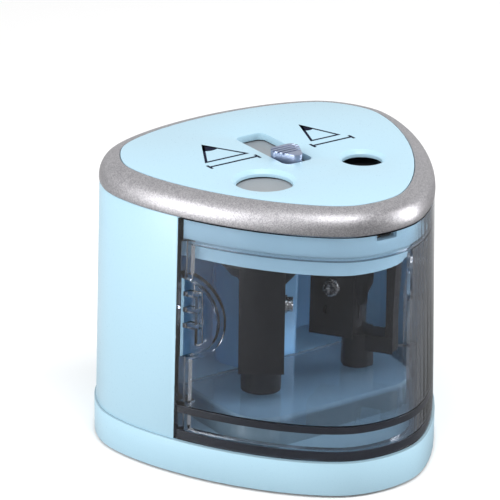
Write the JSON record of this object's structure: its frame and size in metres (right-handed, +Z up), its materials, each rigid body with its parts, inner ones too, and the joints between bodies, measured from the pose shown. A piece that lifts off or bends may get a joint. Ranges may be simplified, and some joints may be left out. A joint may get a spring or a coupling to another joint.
{
  "type": "electric pencil sharpener",
  "caption": "Battery-powered electric pencil sharpener with large and small pencil holes, a sliding hole selector and a smoky clear wrap-round shavings drawer.",
  "frame": {"origin": "bottom centre of the bounding box, on the surface the feet stand on", "axes": "+Z up, -Y towards the drawer's rounded front corner, the plan outline is symmetric about the YZ plane"},
  "size_m": [0.098, 0.0956, 0.084],
  "materials": {
    "light_blue_plastic": "smooth semi-gloss moulded ABS",
    "inner_blue_plastic": "satin moulded ABS seen through the drawer",
    "silver_paint": "metallic silver paint with fine flake on plastic",
    "smoky_clear": "smoky blue-grey transparent polystyrene",
    "black_plastic": "matte black glass-filled nylon",
    "grey_plastic": "satin grey ABS",
    "white_acetal": "waxy white acetal gears",
    "blade_steel": "ground carbon steel",
    "screw_steel": "bright zinc-plated steel",
    "motor_steel": "nickel-plated drawn steel",
    "brass": "plain brass",
    "rubber": "matte rubber",
    "board_green": "glass-epoxy board with green solder mask"
  },
  "bodies": {
    "housing": {"base": "light_blue_plastic", "bottom_plate": "light_blue_plastic", "rubber_feet": "rubber", "bottom_screws": "screw_steel", "rear_shell": "light_blue_plastic", "inner_frame": "inner_blue_plastic", "gear_housing": "light_blue_plastic", "housing_screws": "screw_steel", "gear_cover": "grey_plastic", "cover_screws": "screw_steel", "guide_bush_large": "black_plastic", "guide_bush_small": "black_plastic", "bezel_ring": "silver_paint", "top_plate": "light_blue_plastic", "motor_can": "motor_steel", "motor_end_cap": "white_acetal", "motor_bearing": "brass", "motor_terminals": "brass", "motor_screws": "screw_steel", "compound_axle": "motor_steel", "circuit_board": "board_green", "start_switches": "black_plastic", "drawer_contacts": "brass", "battery_box": "grey_plastic", "battery_springs": "screw_steel", "battery_plates": "screw_steel"},
    "selector": {"selector_shutter": "grey_plastic", "selector_knob": "silver_paint"},
    "drawer": {"drawer": "smoky_clear"},
    "motor_rotor": {"motor_shaft": "motor_steel", "motor_pinion": "brass"},
    "compound": {"compound_gear": "white_acetal"},
    "cutter_large": {"cutter_gear_large": "white_acetal", "cutter_holder_large": "black_plastic", "blade_large": "blade_steel", "blade_screw_large": "screw_steel", "blade_washer_large": "screw_steel"},
    "cutter_small": {"cutter_gear_small": "white_acetal", "cutter_holder_small": "black_plastic", "blade_small": "blade_steel", "blade_screw_small": "screw_steel", "blade_washer_small": "screw_steel"},
    "start_button_large": {"start_plunger_large": "white_acetal"},
    "start_button_small": {"start_plunger_small": "white_acetal"},
    "battery_door": {"battery_door": "light_blue_plastic"}
  },
  "joints": [
    {"name": "drawer_slide", "type": "slide", "parent": "housing", "child": "drawer", "axis": [0, -1, 0], "range_m": [0, 0.045]},
    {"name": "selector_slide", "type": "slide", "parent": "housing", "child": "selector", "axis": [0, 1, 0], "range_m": [0, 0.0157]},
    {"name": "cutter_large_spin", "type": "hinge", "parent": "housing", "child": "cutter_large", "pos_m": [-0.0163, -0.0107, 0.065], "axis": [0, 0, 1], "continuous": true},
    {"name": "cutter_small_spin", "type": "hinge", "parent": "housing", "child": "cutter_small", "pos_m": [0.0163, -0.0107, 0.065], "axis": [0, 0, 1], "continuous": true},
    {"name": "compound_spin", "type": "hinge", "parent": "housing", "child": "compound", "pos_m": [0, 0.00347, 0.065], "axis": [0, 0, 1], "continuous": true},
    {"name": "motor_spin", "type": "hinge", "parent": "housing", "child": "motor_rotor", "pos_m": [0, 0.01697, 0.065], "axis": [0, 0, 1], "continuous": true},
    {"name": "start_press_large", "type": "slide", "parent": "housing", "child": "start_button_large", "axis": [1, 0, 0], "range_m": [0, 0.001], "stiffness_N_per_m": 50},
    {"name": "start_press_small", "type": "slide", "parent": "housing", "child": "start_button_small", "axis": [-1, 0, 0], "range_m": [0, 0.001], "stiffness_N_per_m": 50},
    {"name": "battery_slide", "type": "slide", "parent": "housing", "child": "battery_door", "axis": [0, 1, 0], "range_m": [0, 0.03]}
  ],
  "couplings": [
    {"joint": "cutter_small_spin", "follows": "cutter_large_spin", "ratio": 1},
    {"joint": "compound_spin", "follows": "cutter_large_spin", "ratio": -1.25},
    {"joint": "motor_spin", "follows": "cutter_large_spin", "ratio": 7.1875}
  ]
}
